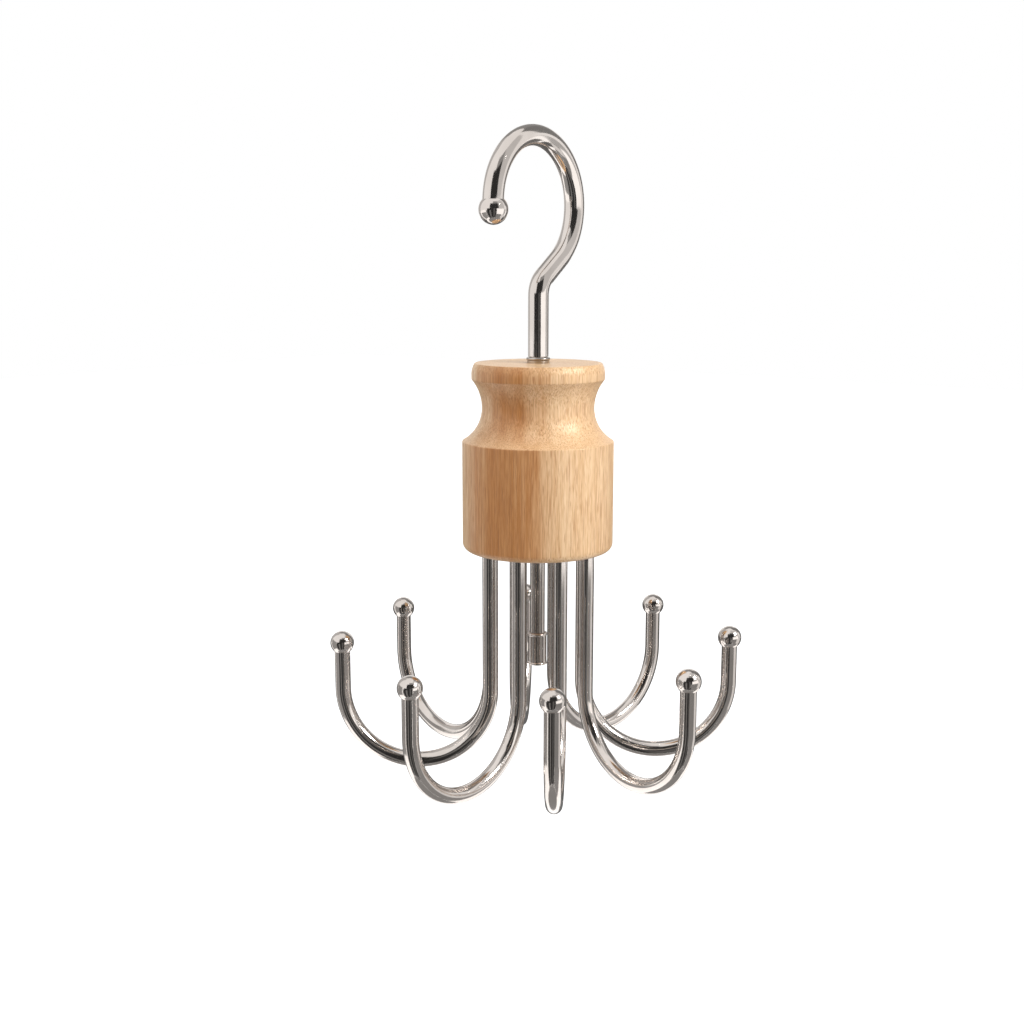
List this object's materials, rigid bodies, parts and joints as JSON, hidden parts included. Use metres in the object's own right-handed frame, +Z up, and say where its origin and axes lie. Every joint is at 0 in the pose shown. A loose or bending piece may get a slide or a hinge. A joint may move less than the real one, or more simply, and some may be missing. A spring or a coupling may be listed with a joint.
{
  "type": "tie hanger",
  "caption": "Revolving tie hanger: a rod hook with a ball tip swivels in a turned wooden body that carries ball-tipped curved rod hooks for ties.",
  "frame": {"origin": "inner crown of the hanging hook's loop, where a closet rail bears", "axes": "+Z up, the rail runs along Y, and the mouth of the loop and its ball are towards -X"},
  "size_m": [0.1342, 0.1325, 0.2033],
  "materials": {
    "polished_steel": "polished, slightly warm",
    "ball_steel": "polished, slightly warm",
    "bush_metal": "polished",
    "plain_steel": "plain zinc-plated",
    "beech": "clear satin lacquer on turned beech",
    "plug_beech": "clear satin lacquer on beech, end grain"
  },
  "bodies": {
    "hanger": {"hanger_hook": "polished_steel", "hook_ball": "ball_steel", "thrust_washer": "plain_steel", "lock_nut": "plain_steel"},
    "rack": {"wood_body": "beech", "top_bush": "bush_metal", "bottom_plug": "plug_beech", "centre_rod": "polished_steel", "end_sleeve": "polished_steel", "tie_hook_1": "polished_steel", "tie_hook_2": "polished_steel", "tie_hook_3": "polished_steel", "tie_hook_4": "polished_steel", "tie_hook_5": "polished_steel", "tie_hook_6": "polished_steel", "tie_hook_7": "polished_steel", "tie_hook_8": "polished_steel", "tip_ball_1": "ball_steel", "tip_ball_2": "ball_steel", "tip_ball_3": "ball_steel", "tip_ball_4": "ball_steel", "tip_ball_5": "ball_steel", "tip_ball_6": "ball_steel", "tip_ball_7": "ball_steel", "tip_ball_8": "ball_steel"}
  },
  "joints": [
    {"name": "swivel", "type": "hinge", "parent": "hanger", "child": "rack", "pos_m": [0.0018, 0, -0.09565], "axis": [0, 0, 1], "continuous": true}
  ]
}
